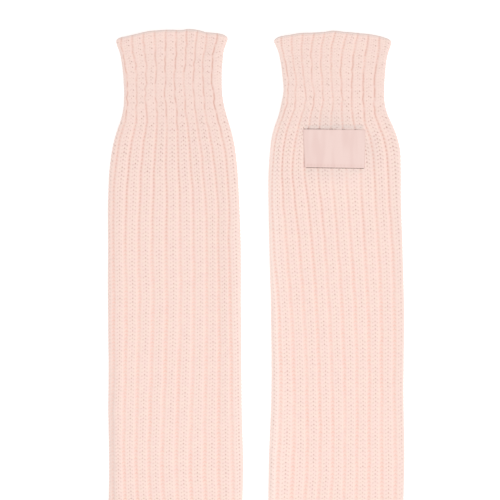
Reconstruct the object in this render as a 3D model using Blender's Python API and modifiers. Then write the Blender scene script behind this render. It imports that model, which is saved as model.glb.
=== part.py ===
"""A pair of rib-knit leg warmers, laid flat side by side.

Each leg warmer is one knitted tube. Deep ribs run its whole length, elastic draws both
ends in to a cuff, and the edges flare out again to a lip. Laid down, the front of the
tube lies on its back and the two meet in a soft rounded fold at each side. A plain woven
label is sewn to the right one, below its upper cuff.

X runs across the pair, +Y points to the upper cuffs and +Z up from the surface that the
pair lies on. Sizes are in millimetres until a point is placed; MM turns them to metres.
"""

import math
from collections import namedtuple

import bmesh
import bpy

MM = 0.001

# The pair
LENGTH = 600.0  # from lip to lip of one leg warmer
LEFT_AXIS_X = -66.4
RIGHT_AXIS_X = 65.6
RIGHT_SET_BACK = 0.9  # the right one's upper lip lies this much lower

# The cloth
RIBS_ON_TOP = 9  # whole ribs between the outermost channels of the upper face
CHANNEL_WALL = 1.0  # from the middle of the cloth to the bottom of a channel
CREST_WALL = 2.4  # from the middle of the cloth to the top of a rib
INNER_WALL = 1.2  # from the middle of the cloth to its plain inside
UNDER_WALL = 1.6  # from the middle of the cloth to its flat underside
LAYER_GAP = 0.6  # between the front's inside and the back's
CUFF_GAP = 0.4  # more of it in the cuffs, where the elastic bunches the cloth
LIP_GAP = 1.0  # more again at the lips, which stand a little open
LIP_GAP_REACH = 22.0
FOLD_RADIUS = 2.3  # of the middle of the cloth, round a side fold
FOLD_REACH = 12.0  # how far in from a fold the front comes down to the back
RIM_ROUNDING = 3.0  # length over which the cloth rounds off to its edge
RIM_SHARE = 0.45  # of the wall that is left at the very edge
LIP_ARCH_REACH = 60.0  # the lip's arch has died out this far from the edge

# Height of the middle of the cloth in the back, which lies on the surface
BACK_Z = UNDER_WALL
FOLD_Z = BACK_Z + FOLD_RADIUS

# A rib across its width, as shares of its pitch and of its height
RIB_PROFILE = ((0.0, 0.0), (0.2, 0.82), (0.5, 1.0), (0.8, 0.82))
BACK_POINTS = 9  # across the flat underside

# One section across a leg warmer. down is its distance below the upper lip. The others
# are places across it from the leg warmer's axis: its two edges, and the first and the
# last channel between ribs that show on the upper face. lean is how far the channels
# between those two crowd to the left, where it is below 0, or to the right.
Section = namedtuple("Section", "down left right first_channel last_channel lean")

LEFT_SECTIONS = (
    Section(0.0, -46.3, 42.2, -42.6, 35.3, 0.05),
    Section(1.5, -46.8, 42.6, -42.9, 35.3, 0.06),
    Section(6.6, -47.6, 42.6, -43.5, 34.9, 0.08),
    Section(14.8, -46.3, 41.0, -42.2, 32.8, 0.11),
    Section(24.6, -43.5, 39.4, -40.2, 31.2, 0.09),
    Section(38.0, -41.8, 38.5, -38.5, 31.2, 0.02),
    Section(53.3, -41.8, 38.5, -38.1, 32.0, -0.02),
    Section(64.0, -42.0, 40.2, -38.5, 33.6, -0.01),
    Section(73.8, -43.9, 43.1, -40.2, 36.1, 0.0),
    Section(82.0, -46.7, 45.9, -42.6, 38.5, 0.03),
    Section(94.3, -50.4, 48.4, -45.5, 41.0, 0.04),
    Section(110.7, -52.9, 50.4, -48.0, 43.0, 0.04),
    Section(135.3, -54.1, 52.5, -49.4, 45.1, 0.08),
    Section(172.2, -54.9, 53.7, -50.0, 45.5, 0.08),
    Section(221.4, -54.9, 54.1, -49.2, 45.9, 0.06),
    Section(270.6, -54.5, 54.5, -50.0, 46.3, 0.02),
    Section(319.8, -54.1, 54.9, -50.2, 46.7, -0.04),
    Section(352.6, -53.7, 55.4, -50.0, 47.6, -0.08),
)
RIGHT_SECTIONS = (
    Section(0.0, -48.6, 43.5, -43.5, 35.7, -0.08),
    Section(1.5, -49.1, 44.0, -43.7, 35.7, -0.08),
    Section(6.6, -50.0, 44.7, -43.9, 35.7, -0.1),
    Section(14.0, -48.6, 43.5, -43.3, 35.9, -0.15),
    Section(23.8, -45.9, 41.2, -41.2, 34.9, -0.21),
    Section(36.1, -43.9, 39.8, -39.4, 33.2, -0.22),
    Section(48.4, -43.0, 39.4, -38.7, 32.4, -0.2),
    Section(59.9, -44.2, 39.6, -40.0, 32.2, -0.13),
    Section(68.9, -46.7, 41.8, -42.4, 33.4, -0.14),
    Section(77.9, -50.0, 45.9, -45.5, 36.1, -0.16),
    Section(87.7, -52.5, 49.6, -48.0, 40.2, -0.18),
    Section(97.6, -54.1, 51.7, -49.6, 42.2, -0.19),
    Section(114.0, -54.9, 52.5, -50.6, 43.5, -0.19),
    Section(138.6, -54.9, 53.1, -50.8, 44.7, -0.11),
    Section(179.6, -54.5, 54.5, -49.2, 45.9, -0.05),
    Section(220.6, -53.3, 55.1, -46.9, 47.2, -0.02),
    Section(302.6, -52.5, 55.4, -45.3, 48.4, 0.03),
    Section(351.8, -53.7, 55.8, -48.4, 49.2, 0.04),
)

# The lower end is drawn in as the upper one is. up is the distance above the lower lip.
FootSection = namedtuple("FootSection", "up half_width channel_half")
FOOT_SECTIONS = (
    FootSection(170.0, 54.6, 48.4),
    FootSection(130.0, 53.4, 47.4),
    FootSection(106.0, 51.4, 45.4),
    FootSection(90.0, 48.6, 42.8),
    FootSection(78.0, 45.0, 39.6),
    FootSection(66.0, 42.0, 36.8),
    FootSection(52.0, 40.6, 35.4),
    FootSection(36.0, 41.0, 35.8),
    FootSection(22.0, 43.0, 37.6),
    FootSection(12.0, 45.0, 39.2),
    FootSection(5.0, 45.8, 39.8),
    FootSection(1.5, 45.2, 39.2),
    FootSection(0.0, 44.6, 38.8),
)

# crown_x is where the arched upper lip stands highest, and the drops are how far its
# corners lie below that.
Leg = namedtuple("Leg", "name axis_x top_y crown_x drop_left drop_right sections")
LEFT_LEG = Leg("leg_warmer_left", LEFT_AXIS_X, LENGTH / 2, 5.0, 8.0, 4.4, LEFT_SECTIONS)
RIGHT_LEG = Leg(
    "leg_warmer_right",
    RIGHT_AXIS_X,
    LENGTH / 2 - RIGHT_SET_BACK,
    0.0,
    7.2,
    6.2,
    RIGHT_SECTIONS,
)
FOOT_DROP = 6.6
ARCH_POWER = 1.8

# The label, on the right leg warmer: its corners, across from the axis and down
LABEL_TOP_LEFT = (-25.9, 80.5)
LABEL_TOP_RIGHT = (24.6, 81.0)
LABEL_BOTTOM_LEFT = (-24.4, 111.8)
LABEL_BOTTOM_RIGHT = (24.1, 112.5)
LABEL_THICKNESS = 1.0
LABEL_CLEARANCE = 0.35  # above the crests that it is sewn down to
LABEL_SAG = 0.25  # over a channel, less than the clearance
LABEL_STEPS_ACROSS = 20
LABEL_STEPS_DOWN = 6

YARN_PINK = (0.95, 0.72, 0.65, 1.0)
LABEL_PINK = (0.88, 0.67, 0.62, 1.0)


def blend(a, b, share):
    """The value that share of the way from a to b."""
    return a + (b - a) * share


def clear_scene():
    """Removes whatever the file opens with."""
    for obj in list(bpy.data.objects):
        bpy.data.objects.remove(obj, do_unlink=True)


def fabric(name, colour, roughness):
    """A matt cloth material."""
    material = bpy.data.materials.new(name)
    material.use_nodes = True
    shader = material.node_tree.nodes["Principled BSDF"]
    shader.inputs["Base Color"].default_value = colour
    shader.inputs["Roughness"].default_value = roughness
    shader.inputs["Metallic"].default_value = 0.0
    material.diffuse_color = colour
    return material


def all_sections(leg):
    """The leg warmer's sections from its upper lip to its lower one."""
    foot = [
        Section(
            LENGTH - (LENGTH / 2 - leg.top_y) - row.up,
            -row.half_width,
            row.half_width,
            -row.channel_half,
            row.channel_half,
            0.0,
        )
        for row in FOOT_SECTIONS
    ]
    return list(leg.sections) + foot


def section_at(leg, down):
    """The section at any distance below the upper lip, read between its neighbours."""
    rows = all_sections(leg)
    for above, below in zip(rows, rows[1:]):
        if down <= below.down:
            share = (down - above.down) / (below.down - above.down)
            return Section(*(blend(a, b, share) for a, b in zip(above, below)))
    return rows[-1]


def from_edge(leg, down):
    """Distance from a section to the nearer lip."""
    return min(down, leg.top_y + LENGTH / 2 - down)


def wall_share(leg, down):
    """How much of the wall's thickness is left, as the cloth rounds off to its edge."""
    inward = min(from_edge(leg, down) / RIM_ROUNDING, 1.0)
    return math.sqrt(1.0 - (1.0 - RIM_SHARE**2) * (1.0 - inward) ** 2)


def layer_gap(leg, down, section):
    """Gap between the two layers in the middle of a section: wider in a cuff and at a lip."""
    body_width = 108.0
    drawn_in = max(0.0, 1.0 - (section.right - section.left) / body_width)
    cuff_share = min(1.0, 4.0 * drawn_in)
    lip_share = max(0.0, 1.0 - from_edge(leg, down) / LIP_GAP_REACH) ** 2
    return LAYER_GAP + CUFF_GAP * cuff_share + LIP_GAP * lip_share


def across_ribs(section, share):
    """Place across of a share of the way from the first channel to the last one."""
    leaning = share + section.lean * share * (1.0 - share)
    return blend(section.first_channel, section.last_channel, leaning)


def fold_centres(section):
    """Places across of the two side folds' centres."""
    reach = FOLD_RADIUS + CREST_WALL
    return section.left + reach, section.right - reach


def front_height(leg, down, section, x):
    """Height of the middle of the cloth in the front, which swells towards each fold."""
    left_fold, right_fold = fold_centres(section)
    middle = BACK_Z + 2 * INNER_WALL + layer_gap(leg, down, section)
    inward = max(0.0, min(x - left_fold, right_fold - x))
    swell = math.exp(-((inward / FOLD_REACH) ** 2))
    return blend(middle, BACK_Z + 2 * FOLD_RADIUS, swell)


def arch_drop(leg, down, x):
    """How far a point lies towards the garment's middle, because its lip is arched."""
    foot_down = leg.top_y + LENGTH / 2
    if down < foot_down / 2:
        drop = leg.drop_left if x < leg.crown_x else leg.drop_right
        centre = leg.crown_x
    else:
        drop = FOOT_DROP
        centre = 0.0
    half_width = leg.sections[0].right if x > centre else -leg.sections[0].left
    across = abs(x - centre) / (half_width + (centre if x < centre else -centre))
    fade = max(0.0, 1.0 - from_edge(leg, down) / LIP_ARCH_REACH) ** 2
    return drop * min(across, 1.1) ** ARCH_POWER * fade


def place(leg, down, x, z):
    """A point of a leg warmer, in metres, in the pair's frame."""
    toward_middle = arch_drop(leg, down, x)
    if down > (leg.top_y + LENGTH / 2) / 2:
        toward_middle = -toward_middle
    return (
        (leg.axis_x + x) * MM,
        (leg.top_y - down - toward_middle) * MM,
        z * MM,
    )


def front_points(leg, down, section, share):
    """(x, outer z, inner z) along the ribs of the front, without its last channel."""
    points = []
    for rib in range(RIBS_ON_TOP):
        for across, height in RIB_PROFILE:
            x = across_ribs(section, (rib + across) / RIBS_ON_TOP)
            middle = front_height(leg, down, section, x)
            wall = blend(CHANNEL_WALL, CREST_WALL, height)
            points.append((x, middle + wall * share, middle - INNER_WALL * share))
    return points


def fold_points(leg, down, section, share, side):
    """[(outer x, outer z, inner x, inner z)] round a side fold, from its channel down.

    side is +1 for the right fold and -1 for the left one. The fold carries one rib: its
    path runs along the front to the fold's centre, and then round to the underside.
    """
    channel = section.last_channel if side > 0 else section.first_channel
    centre = fold_centres(section)[1 if side > 0 else 0]
    straight = (centre - channel) * side
    pitch = (section.last_channel - section.first_channel) / RIBS_ON_TOP
    quarter = FOLD_RADIUS * math.pi / 2
    widest = straight + quarter
    shoulder = min(RIB_PROFILE[1][0] * pitch, 0.6 * widest)
    stations = (
        (0.0, CHANNEL_WALL),
        (shoulder, blend(CHANNEL_WALL, CREST_WALL, RIB_PROFILE[1][1])),
        (blend(shoulder, widest, 0.5), CREST_WALL),
        (widest, CREST_WALL),
        (widest + 0.45 * quarter, 2.2),
        (widest + 0.8 * quarter, 1.8),
    )
    points = []
    for path, wall in stations:
        beyond = path - straight
        if beyond <= 0:
            x = centre + side * beyond
            middle = front_height(leg, down, section, x)
            points.append((x, middle + wall * share, x, middle - INNER_WALL * share))
            continue
        angle = beyond / FOLD_RADIUS
        outer = FOLD_RADIUS + wall * share
        inner = FOLD_RADIUS - INNER_WALL * share
        points.append(
            (
                centre + side * math.sin(angle) * outer,
                FOLD_Z + math.cos(angle) * outer,
                centre + side * math.sin(angle) * inner,
                FOLD_Z + math.cos(angle) * inner,
            )
        )
    return points


def section_rings(leg, section):
    """The outer ring of a section, and its inner ring with half as many points."""
    down = section.down
    share = wall_share(leg, down)
    left_fold, right_fold = fold_centres(section)
    front = front_points(leg, down, section, share)
    right = fold_points(leg, down, section, share, +1)
    left = fold_points(leg, down, section, share, -1)
    first_channel = left.pop(0)
    outer = [first_channel[:2]] + [(x, top) for x, top, _ in front[1:]]
    inner = [first_channel[2:]] + [(x, under) for x, _, under in front[1:]]
    outer += [point[:2] for point in right]
    inner += [point[2:] for point in right]
    for step in range(BACK_POINTS):
        x = blend(right_fold, left_fold, step / (BACK_POINTS - 1))
        outer.append((x, BACK_Z - UNDER_WALL * share))
        inner.append((x, BACK_Z + INNER_WALL * share))
    outer += [point[:2] for point in reversed(left)]
    inner += [point[2:] for point in reversed(left)]
    return (
        [place(leg, down, x, z) for x, z in outer],
        [place(leg, down, x, z) for x, z in inner[::2]],
    )


def bridge_rings(mesh, ring, following):
    """Quads from one ring of vertices to the next."""
    count = len(ring)
    for i in range(count):
        j = (i + 1) % count
        mesh.faces.new((ring[i], following[i], following[j], ring[j]))


def close_rim(mesh, outer, inner):
    """The cloth's edge, from a ring to the inner ring that has half its points."""
    count = len(inner)
    for i in range(count):
        j = (i + 1) % count
        a, b, c = outer[2 * i], outer[2 * i + 1], outer[(2 * i + 2) % len(outer)]
        mesh.faces.new((a, b, inner[i]))
        mesh.faces.new((b, inner[j], inner[i]))
        mesh.faces.new((b, c, inner[j]))


def knitted_tube(leg, material, collection):
    """One leg warmer: a lofted wall, ribbed outside and plain inside, open at both ends."""
    mesh = bmesh.new()
    outer_rings = []
    inner_rings = []
    for section in all_sections(leg):
        outer, inner = section_rings(leg, section)
        outer_rings.append([mesh.verts.new(point) for point in outer])
        inner_rings.append([mesh.verts.new(point) for point in inner])
    for ring, following in zip(outer_rings, outer_rings[1:]):
        bridge_rings(mesh, ring, following)
    for ring, following in zip(inner_rings, inner_rings[1:]):
        bridge_rings(mesh, following, ring)
    close_rim(mesh, outer_rings[0], inner_rings[0])
    close_rim(mesh, outer_rings[-1], inner_rings[-1])
    bmesh.ops.recalc_face_normals(mesh, faces=mesh.faces)
    return finished_object(leg.name, mesh, material, collection)


def label_height(section, down, x):
    """Height of the label's underside: just over the crests, and lower over a channel."""
    channels = [across_ribs(section, n / RIBS_ON_TOP) for n in range(RIBS_ON_TOP + 1)]
    pitch = channels[1] - channels[0]
    nearest = min(abs(x - channel) for channel in channels)
    over_channel = 0.5 + 0.5 * math.cos(2 * math.pi * min(nearest / pitch, 0.5))
    middle = front_height(RIGHT_LEG, down, section, x)
    return middle + CREST_WALL + LABEL_CLEARANCE - LABEL_SAG * over_channel**2


def woven_label(material, collection):
    """The bare label: a grid laid over the ribs, thickened upwards."""
    mesh = bmesh.new()
    bmesh.ops.create_grid(
        mesh, x_segments=LABEL_STEPS_ACROSS, y_segments=LABEL_STEPS_DOWN, size=0.5
    )
    for vertex in mesh.verts:
        across, up = vertex.co.x + 0.5, vertex.co.y + 0.5
        top_x = blend(LABEL_TOP_LEFT[0], LABEL_TOP_RIGHT[0], across)
        top_down = blend(LABEL_TOP_LEFT[1], LABEL_TOP_RIGHT[1], across)
        bottom_x = blend(LABEL_BOTTOM_LEFT[0], LABEL_BOTTOM_RIGHT[0], across)
        bottom_down = blend(LABEL_BOTTOM_LEFT[1], LABEL_BOTTOM_RIGHT[1], across)
        x = blend(bottom_x, top_x, up)
        down = blend(bottom_down, top_down, up)
        section = section_at(RIGHT_LEG, down)
        vertex.co = place(RIGHT_LEG, down, x, label_height(section, down, x))
    bmesh.ops.recalc_face_normals(mesh, faces=mesh.faces)
    if sum(face.normal.z for face in mesh.faces) < 0:
        bmesh.ops.reverse_faces(mesh, faces=mesh.faces)
    label = finished_object("label", mesh, material, collection)
    thicken = label.modifiers.new("cloth", "SOLIDIFY")
    thicken.thickness = LABEL_THICKNESS * MM
    thicken.offset = 1.0
    return label


def finished_object(name, mesh, material, collection):
    """Turns a bmesh into a smooth-shaded object with its material."""
    data = bpy.data.meshes.new(name)
    mesh.to_mesh(data)
    mesh.free()
    data.materials.append(material)
    data.shade_smooth()
    data.set_sharp_from_angle(angle=math.radians(50))
    obj = bpy.data.objects.new(name, data)
    collection.objects.link(obj)
    return obj


def main():
    clear_scene()
    collection = bpy.data.collections.new("leg_warmers")
    bpy.context.scene.collection.children.link(collection)
    knit = fabric("rib_knit", YARN_PINK, 0.95)
    weave = fabric("woven_label", LABEL_PINK, 0.7)
    for leg in (LEFT_LEG, RIGHT_LEG):
        knitted_tube(leg, knit, collection)
    woven_label(weave, collection)


main()
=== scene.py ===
"""Looks of a pair of rib-knit leg warmers, laid flat side by side and seen from above.

Each leg warmer is one knitted tube: ribs of two knit wales each, with one purl wale sunk
between them, drawn in to a cuff at both ends. A bare woven label is sewn to the right one.

X runs across the pair, +Y points to the upper cuffs and +Z up. Sizes are in millimetres
until a point is placed, and MM turns them to metres. Down is the distance along a leg
warmer from its upper lip. Places round a tube are counted in ribs, from the first channel
on the left of its upper face, and places along it in courses, the rows of stitches.
"""

import logging
import math
from collections.abc import Iterator
from dataclasses import dataclass
from enum import Enum

import bmesh
import bpy
import numpy as np
from mathutils import Euler, Matrix, Vector


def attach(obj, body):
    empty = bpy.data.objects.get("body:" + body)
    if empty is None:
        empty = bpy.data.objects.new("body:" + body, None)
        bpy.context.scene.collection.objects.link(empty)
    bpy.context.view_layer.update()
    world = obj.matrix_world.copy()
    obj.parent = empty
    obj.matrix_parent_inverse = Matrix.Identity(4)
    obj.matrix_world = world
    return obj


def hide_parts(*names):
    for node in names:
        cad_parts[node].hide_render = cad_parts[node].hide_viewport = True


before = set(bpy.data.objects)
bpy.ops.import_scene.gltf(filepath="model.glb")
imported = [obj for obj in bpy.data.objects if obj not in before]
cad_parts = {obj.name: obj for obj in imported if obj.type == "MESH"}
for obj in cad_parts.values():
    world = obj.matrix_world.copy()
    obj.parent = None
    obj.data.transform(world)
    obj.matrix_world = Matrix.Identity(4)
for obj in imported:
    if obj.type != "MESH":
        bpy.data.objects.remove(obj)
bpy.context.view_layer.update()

Array = np.ndarray
Looks = dict[str, Array]  # what the yarn's material reads at each point, by its name
Pair = tuple[float, float]

MM = 0.001
UV_NAME = "knit"
BODY = "root"
log = logging.getLogger("leg_warmers")

# The cloth
LENGTH = 600.0  # from lip to lip
RIBS_ON_TOP = 9  # between the outermost channels of the upper face
RIBS_ROUND = 20  # all round a tube
CHANNEL_WALL = 1.0  # from the middle of the cloth to the bottom of a channel
CREST_WALL = 2.4  # from the middle of the cloth to the top of a rib
INNER_WALL = 1.2  # from the middle of the cloth to its plain inside
UNDER_WALL = 1.6  # from the middle of the cloth to its flat underside
LAYER_GAP = 0.6  # between the front's inside and the back's
CUFF_GAP = 0.4  # more of it in the cuffs
LIP_GAP = 1.0  # more again at the lips
LIP_GAP_REACH = 22.0
BODY_WIDTH = 108.0
FOLD_RADIUS = 2.3  # of the middle of the cloth, round a side fold
FOLD_INSET = FOLD_RADIUS + CREST_WALL  # from a tube's side to the centre of its fold
FOLD_REACH = 12.0  # how far in from a fold the front comes down to the back
FOLD_TRACK = 4.2  # radius at which the stitches are measured round a fold
FOLD_RIBS = 1.35  # ribs from the outermost channel round to the underside
FOLD_OPENS = (0.3, 0.9)  # angles where a fold starts to stretch the ribs flat, and has
FOLD_OPENS_FROM = 0.5  # ribs from the outermost channel to the first that is stretched
FOLD_LIES = (1.75, 2.6)  # angles where it starts to lie flat on the floor, and does
BACK_Z = UNDER_WALL
FOLD_Z = BACK_Z + FOLD_RADIUS
CUFF_NARROWER = 0.25  # share of its width that a tube has lost where it is all a cuff
RIM_ROUNDING = 1.4  # length over which the cloth rounds off to its edge
BOUND_OFF = 3.2  # width of the smooth cast-on edge along a lip
ARCH_REACH = 60.0  # a lip's arch has died out this far from the edge
ARCH_POWER = 1.8  # how late the lower lip's arch bends towards its sides
ARCH_ENDS = 1.1  # half widths from its middle out to which it bends
FOOT_DROP = 6.6  # how far its middle lies below its sides

# The mesh: where its columns run across a rib, and its rows along a tube
RIB_PHASES = (0.0, 0.09, 0.2, 0.318, 0.41, 0.5, 0.59, 0.682, 0.8, 0.91)
FOLD_PHASES = (0.0, 0.12, 0.24)
UNDER_COLUMNS = 9
LIP_ROWS = (0.0, 0.012, 0.05, 0.12, 0.22, 0.35)  # in courses from the edge
FIRST_ROW = 0.5  # courses from the upper edge to the first even row
LAST_ROW = 0.4  # and from the last one to the lower edge, at least
FINE_ROWS = 4  # to a course, where the photo shows the cloth
PLAIN_ROWS = 3  # to a course, below that
FINE_COURSES = 122
INSIDE_STEP = 7  # courses between the rows of the plain inside
NOISE_ROWS = 512  # after which a noise along the tube repeats
SHARP_ANGLE = 40.0  # degrees, over which an edge of the label isn't shaded smooth

IOR = 1.5  # of every fibre here
WHITE = (1.0, 1.0, 1.0, 1.0)


def blend(a: float, b: float, share: float) -> float:
    """The value that share of the way from a to b."""
    return a + (b - a) * share


def smooth(share: Array) -> Array:
    """An even 0 to 1, clipped and eased at both ends."""
    share = np.clip(share, 0.0, 1.0)
    return share * share * (3.0 - 2.0 * share)


def ramp(value: Array, start: float, end: float) -> Array:
    """0 up to start, 1 from end on, and eased between them."""
    return smooth((value - start) / (end - start))


def hump(value: Array, width: float) -> Array:
    """1 where value is 0, and falling away softly to both sides of it."""
    return np.exp(-((value / width) ** 2))


def groove_at(course: Array) -> Array:
    """1 in the grooves between two courses of stitches, and 0 on top of their legs."""
    return 0.5 + 0.5 * np.cos(2.0 * math.pi * course)


def rounded_edge(from_lip: Array) -> Array:
    """Share of its thickness that the cloth has left at a distance from its edge."""
    inward = np.clip(from_lip / RIM_ROUNDING, 0.0, 1.0)
    return np.sqrt(1.0 - (1.0 - inward) ** 2)


def soft_noise(seed: int, u: Array, v: Array, period: int) -> Array:
    """Smooth random values between -1 and 1 that repeat along u.

    Args:
        seed: what tells one noise from another.
        u: place along the first way, one cell to a unit.
        v: place along the second way, one cell to a unit.
        period: units of u after which the noise repeats.

    Returns:
        An array of the shape that u and v make together.
    """
    table = np.random.default_rng(seed).uniform(-1.0, 1.0, (period, NOISE_ROWS))
    u, v = np.broadcast_arrays(u, v)
    i = np.floor(u).astype(int)
    j = np.floor(v).astype(int)
    along = smooth(v - j)
    near, far = (
        blend(table[k % period, j % NOISE_ROWS], table[k % period, (j + 1) % NOISE_ROWS], along)
        for k in (i, i + 1)
    )
    return blend(near, far, smooth(u - i))


def stitch_noise(seed: int, rib: Array, course: Array) -> Array:
    """Random values between 0 and 1, one for each hole between stitches.

    Args:
        seed: what tells one noise from another.
        rib: place round the tube, in ribs.
        course: place along the tube, in courses.

    Returns:
        An array of the shape that rib and course make together.
    """
    holes_in_rib = 5
    holes_round = RIBS_ROUND * holes_in_rib
    table = np.random.default_rng(seed).uniform(0.0, 1.0, (holes_round, NOISE_ROWS))
    across = np.floor(rib * holes_in_rib).astype(int) % holes_round
    along = np.floor(course + 0.5).astype(int) % NOISE_ROWS
    return table[across, along]


def read_table(rows: Array, at: Array) -> Array:
    """Reads a table smoothly between its rows.

    Args:
        rows: the table, with the place of each row in its first column.
        at: places to read it at.

    Returns:
        An array of the shape of at, with one more axis for the other columns.
    """
    knots = rows[:, 0]
    slopes = np.gradient(rows[:, 1:], knots, axis=0)
    i = np.clip(np.searchsorted(knots, at, side="right") - 1, 0, len(knots) - 2)
    step = (knots[i + 1] - knots[i])[..., None]
    s = np.clip((at[..., None] - knots[i][..., None]) / step, 0.0, 1.0)
    start, end = rows[i, 1:], rows[i + 1, 1:]
    rise = end - start
    leaving = (slopes[i] * step - rise) * (1.0 - s)
    arriving = (rise - slopes[i + 1] * step) * s
    return start + rise * s + s * (1.0 - s) * (leaving + arriving)


def srgb(code: str) -> tuple[float, float, float, float]:
    """Turns a colour such as '#F5C8B8' to linear red, green, blue and alpha."""
    levels = [int(code[i : i + 2], 16) / 255.0 for i in (1, 3, 5)]
    linear = [c / 12.92 if c <= 0.04045 else ((c + 0.055) / 1.055) ** 2.4 for c in levels]
    return (*linear, 1.0)


def add_node(
    tree: bpy.types.NodeTree, kind: str, settings: dict | None = None, inputs: dict | None = None
) -> bpy.types.Node:
    """Adds a node with its settings, its values and its links.

    Args:
        tree: the material's or the world's nodes.
        kind: the node's type, without the words ShaderNode that all of them start with.
        settings: its properties by name.
        inputs: its sockets by name or number, each with a value or the socket to link it to.

    Returns:
        The new node.
    """
    node = tree.nodes.new("ShaderNode" + kind)
    for name, value in (settings or {}).items():
        setattr(node, name, value)
    for name, value in (inputs or {}).items():
        if isinstance(value, bpy.types.NodeSocket):
            tree.links.new(value, node.inputs[name])
        else:
            node.inputs[name].default_value = value
    return node


def new_material(name: str) -> tuple[bpy.types.Material, bpy.types.NodeTree]:
    """Makes a material with no nodes in it yet."""
    material = bpy.data.materials.new(name)
    material.use_nodes = True
    material.node_tree.nodes.clear()
    return material, material.node_tree


def close_material(tree: bpy.types.NodeTree, surface: dict) -> None:
    """Ends a material in a Principled BSDF.

    Args:
        tree: the material's nodes.
        surface: the shader's sockets by name, each with a value or the socket to link it to.
    """
    shader = add_node(tree, "BsdfPrincipled", None, surface)
    add_node(tree, "OutputMaterial", None, {"Surface": shader.outputs["BSDF"]})


def new_mesh(name: str, work: bmesh.types.BMesh) -> bpy.types.Mesh:
    """Turns finished work into a mesh."""
    mesh = bpy.data.meshes.new(name)
    work.to_mesh(mesh)
    work.free()
    return mesh


def new_object(name: str, mesh: bpy.types.Mesh, material: bpy.types.Material) -> bpy.types.Object:
    """Puts a mesh into the scene at the origin, with its material."""
    piece = bpy.data.objects.new(name, mesh)
    mesh.materials.append(material)
    bpy.context.scene.collection.objects.link(piece)
    return piece


class Fold(Enum):
    """The two side folds, by the way that each faces along X."""

    LEFT = -1
    RIGHT = 1


@dataclass(frozen=True)
class Section:
    """One section across a leg warmer, in mm from its upper lip and from its axis.

    lean is how far the channels between the first and the last one crowd to the left, where
    it is below 0, or to the right. swing is how far they crowd to both sides, or where it is
    below 0 to the middle.
    """

    down: float
    left: float
    right: float
    first_channel: float
    last_channel: float
    lean: float
    swing: float


# What a Section holds, row by row, of the part of each leg warmer that the photo shows
LEFT_SECTIONS = (
    (0.0, -47.4, 43.9, -42.6, 35.3, 0.05, -0.02),
    (1.5, -47.7, 44.2, -42.9, 35.3, 0.06, -0.02),
    (6.6, -47.2, 43.2, -43.5, 34.9, 0.08, -0.02),
    (14.8, -45.0, 41.0, -42.2, 32.8, 0.11, -0.05),
    (24.6, -43.3, 40.0, -40.2, 31.2, 0.09, -0.04),
    (38.0, -41.8, 39.4, -38.5, 31.2, 0.02, 0.02),
    (53.3, -41.2, 39.9, -38.1, 32.0, -0.02, -0.04),
    (64.0, -41.7, 41.6, -38.0, 33.4, -0.01, -0.04),
    (73.8, -43.9, 44.4, -39.8, 35.7, 0.0, 0.06),
    (82.0, -46.8, 46.9, -42.3, 38.1, 0.03, 0.09),
    (94.3, -50.2, 49.7, -45.1, 40.9, 0.04, 0.07),
    (110.7, -52.7, 51.8, -47.7, 43.2, 0.04, 0.04),
    (135.3, -54.2, 53.3, -49.2, 44.8, 0.07, -0.07),
    (172.2, -54.3, 54.8, -49.5, 44.9, 0.07, -0.17),
    (221.4, -54.4, 55.1, -49.2, 45.8, 0.06, -0.13),
    (270.6, -53.9, 55.3, -49.5, 46.9, 0.0, -0.12),
    (319.8, -54.0, 56.0, -50.4, 47.3, -0.06, -0.09),
    (352.6, -53.4, 56.8, -50.1, 48.1, -0.12, -0.08),
)
RIGHT_SECTIONS = (
    (0.0, -49.9, 46.0, -43.9, 35.9, 0.02, -0.06),
    (1.5, -50.2, 46.4, -44.0, 35.9, 0.0, -0.06),
    (6.6, -49.0, 45.9, -43.9, 35.7, -0.06, -0.04),
    (14.0, -46.7, 44.1, -43.1, 35.3, -0.16, 0.0),
    (23.8, -44.8, 42.4, -41.0, 33.9, -0.22, 0.0),
    (36.1, -43.4, 41.3, -39.2, 32.6, -0.22, 0.03),
    (48.4, -42.5, 40.7, -38.7, 32.4, -0.2, 0.04),
    (59.9, -44.4, 41.3, -40.0, 32.2, -0.13, 0.08),
    (68.9, -46.5, 43.7, -42.7, 33.1, -0.14, 0.02),
    (77.9, -49.6, 47.6, -45.8, 35.8, -0.16, -0.02),
    (87.7, -52.1, 51.4, -48.4, 39.9, -0.18, -0.07),
    (97.6, -53.4, 53.6, -50.0, 41.9, -0.19, -0.14),
    (114.0, -54.5, 54.2, -51.1, 43.2, -0.19, -0.17),
    (138.6, -54.7, 54.4, -51.5, 44.4, -0.11, -0.08),
    (179.6, -53.9, 55.7, -49.8, 47.0, -0.05, 0.03),
    (220.6, -52.8, 56.8, -46.6, 48.3, -0.03, -0.01),
    (302.6, -52.4, 56.5, -44.6, 48.4, 0.04, 0.04),
    (351.8, -54.2, 57.3, -46.5, 49.3, 0.06, 0.14),
)


# The upper lips: place across, and how far the lip lies below the leg warmer's top there
LEFT_LIP = (
    (-48.2, 7.4), (-44.3, 6.3), (-37.7, 4.9), (-31.2, 3.3), (-24.6, 1.7), (-20.5, 0.8),
    (-14.8, 0.4), (-8.2, -0.1), (-1.7, -0.2), (6.5, 0.0), (10.6, -0.6), (14.7, -0.7),
    (21.3, 0.4), (26.2, 1.8), (31.1, 2.3), (36.1, 2.8), (41.0, 3.9), (44.4, 5.3),
)
RIGHT_LIP = (
    (-50.8, 6.7), (-46.7, 5.0), (-42.6, 3.9), (-36.9, 3.0), (-30.3, 1.8), (-25.4, 1.4),
    (-18.9, 1.3), (-12.3, 0.9), (-7.4, 0.5), (-3.3, -0.3), (2.5, -0.1), (7.4, 0.6),
    (13.9, 1.1), (20.5, 1.8), (27.1, 2.4), (33.6, 3.5), (39.4, 5.0), (45.9, 7.1),
)


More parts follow.
